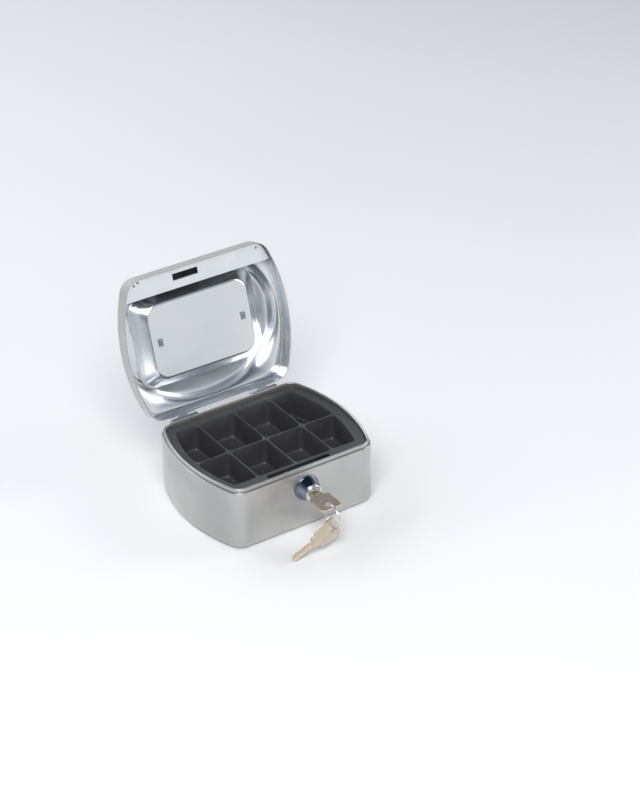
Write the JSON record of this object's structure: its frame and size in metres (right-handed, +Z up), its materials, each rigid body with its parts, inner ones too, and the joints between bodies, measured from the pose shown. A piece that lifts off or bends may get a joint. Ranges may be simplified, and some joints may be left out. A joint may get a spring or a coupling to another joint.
{
  "type": "cash box",
  "caption": "Steel cash box with bulging sides, hinged lid with a recessed bail, front cam lock with keys on a ring, and a lift-out compartment tray.",
  "frame": {"origin": "centre of the underside of the base, on the surface that the box stands on", "axes": "+Z up, +X to the right seen from the lock side, +Y to the rear, towards the hinges; the lock is on the -Y wall; the lid is drawn open"},
  "size_m": [0.152, 0.2259, 0.1687],
  "materials": {
    "silver_lacquer": "satin silver lacquer on drawn steel",
    "plated_steel": "bright zinc-plated sheet",
    "chrome": "polished chrome",
    "zinc": "zinc-plated steel",
    "nickel": "nickel-plated die casting",
    "brass": "stamped brass",
    "key_nickel": "warm nickel-plated stamping",
    "ring_steel": "bright spring steel",
    "tray_plastic": "moulded charcoal plastic, satin"
  },
  "bodies": {
    "base": {"base_shell": "silver_lacquer", "tray_ledge_left": "plated_steel", "tray_ledge_right": "plated_steel", "hinge_base_leaf_left": "plated_steel", "hinge_base_leaf_right": "plated_steel", "hinge_pin_left": "plated_steel", "hinge_pin_right": "plated_steel", "lock_collar": "chrome", "lock_barrel": "chrome", "lock_nut": "zinc"},
    "lid": {"lid_shell": "silver_lacquer", "lock_strip": "plated_steel", "hinge_lid_leaf_left": "plated_steel", "hinge_lid_leaf_right": "plated_steel", "handle_bracket_left": "chrome", "handle_bracket_right": "chrome"},
    "handle": {"handle_bail": "chrome"},
    "tray": {"coin_tray": "tray_plastic"},
    "lock": {"lock_plug": "nickel", "lock_wafers": "brass", "lock_cam": "zinc", "cam_clip": "zinc"},
    "key": {"key_in_lock": "key_nickel"},
    "ring": {"key_ring": "ring_steel"},
    "spare": {"spare_key": "key_nickel"}
  },
  "joints": [
    {"name": "lid_hinge", "type": "hinge", "parent": "base", "child": "lid", "pos_m": [0, 0.0631, 0.0514], "axis": [-1, 0, 0], "range_deg": [-106, 0]},
    {"name": "handle_swing", "type": "hinge", "parent": "lid", "child": "handle", "pos_m": [0, 0.09933, 0.10665], "axis": [1, 0, 0], "range_deg": [-15, 160]},
    {"name": "tray_lift", "type": "slide", "parent": "base", "child": "tray", "axis": [0, 0, 1], "range_m": [0, 0.07]},
    {"name": "lock_turn", "type": "hinge", "parent": "base", "child": "lock", "pos_m": [0, -0.0525, 0.0365], "axis": [0, 1, 0], "range_deg": [0, 90]},
    {"name": "key_pull", "type": "slide", "parent": "lock", "child": "key", "axis": [0, -1, 0], "range_m": [0, 0.0215]},
    {"name": "ring_swing", "type": "hinge", "parent": "key", "child": "ring", "pos_m": [0, -0.0896, 0.0365], "axis": [0, 1, 0], "range_deg": [-20, 20]},
    {"name": "spare_key_swing", "type": "hinge", "parent": "ring", "child": "spare", "pos_m": [0, -0.0955, 0.0189], "axis": [0, 1, 0], "range_deg": [-142, 20]}
  ]
}
